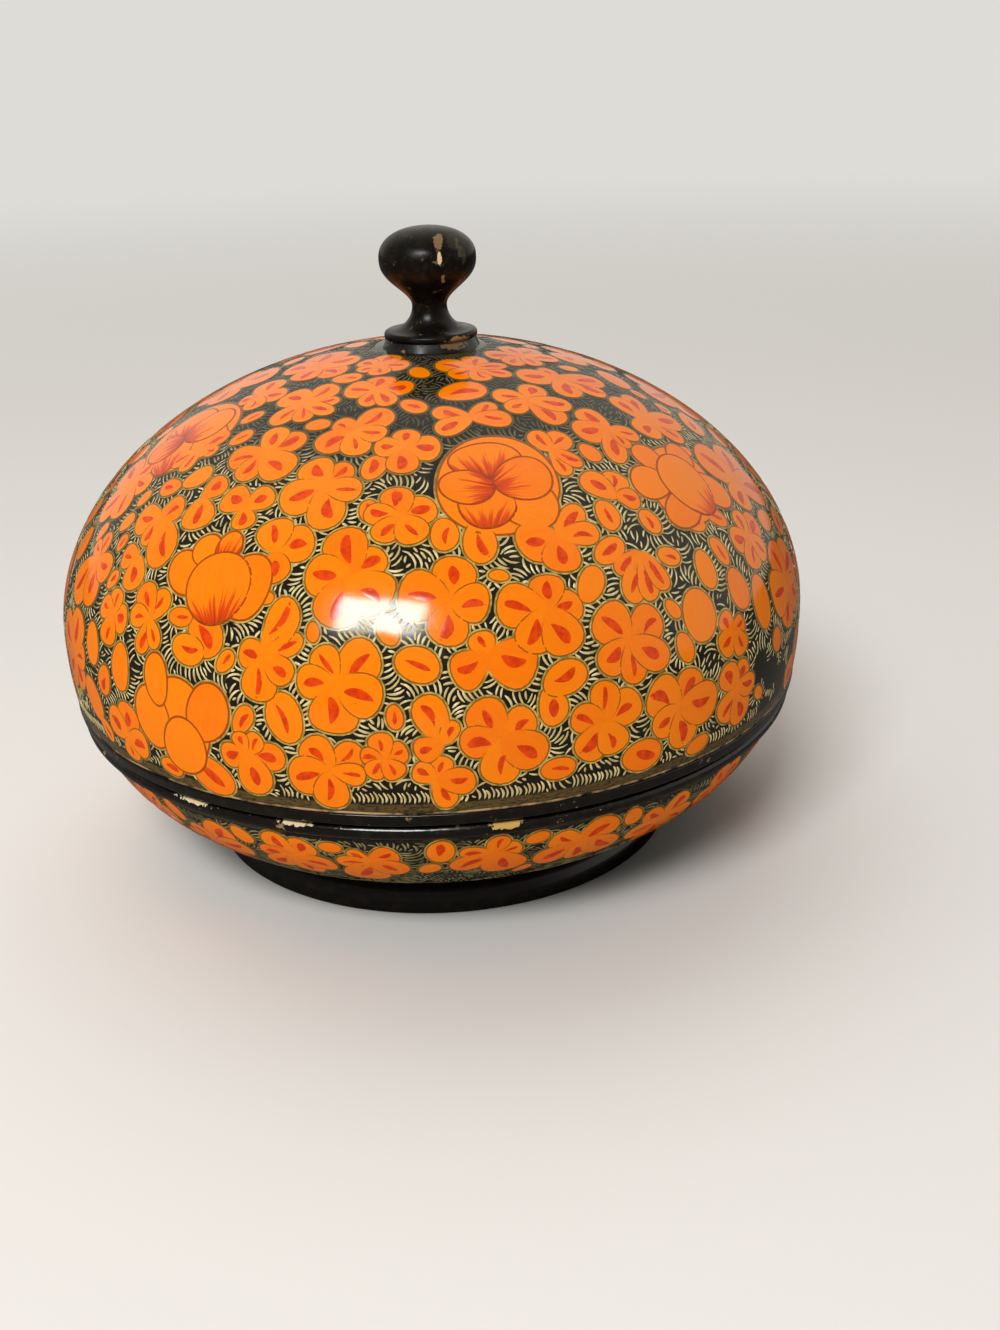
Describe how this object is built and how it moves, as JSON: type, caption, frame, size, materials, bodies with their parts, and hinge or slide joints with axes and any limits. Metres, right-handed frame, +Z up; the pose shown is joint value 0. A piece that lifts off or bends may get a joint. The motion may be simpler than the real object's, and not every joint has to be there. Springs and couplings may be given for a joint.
{
  "type": "lidded round box",
  "caption": "Round lidded box of lacquered pressed paper, with a foot ring, a domed lift-off lid on a locating collar, and a turned knob.",
  "frame": {"origin": "middle of the foot ring's flat face, on the surface that the box stands on", "axes": "+Z up along the box's axis; the knob stands a little off the axis towards +X; -Y is the side that the picture shows"},
  "size_m": [0.1174, 0.1174, 0.0959],
  "materials": {
    "painted_bowl": "painted flowers on black, glossy varnish",
    "painted_lid": "painted flowers on black, glossy varnish",
    "black_lacquer": "black lacquer, glossy and worn at the edges",
    "collar_board": "black lacquer, satin",
    "glue_filler": "black lacquer chipped down to tan glue and filler",
    "lacquered_wood": "black lacquer, glossy, rubbed through in places",
    "bare_wood": "bare"
  },
  "bodies": {
    "bowl": {"bowl_shell": "painted_bowl", "foot_ring": "black_lacquer", "bowl_rim_hoop": "black_lacquer", "mouth_collar": "collar_board"},
    "lid": {"lid_shell": "painted_lid", "lid_rim_hoop": "black_lacquer", "knob_seat": "glue_filler", "knob": "lacquered_wood", "knob_pin": "bare_wood"}
  },
  "joints": [
    {"name": "lid_lift", "type": "slide", "parent": "bowl", "child": "lid", "axis": [0, 0, 1], "range_m": [0, 0.08]}
  ]
}
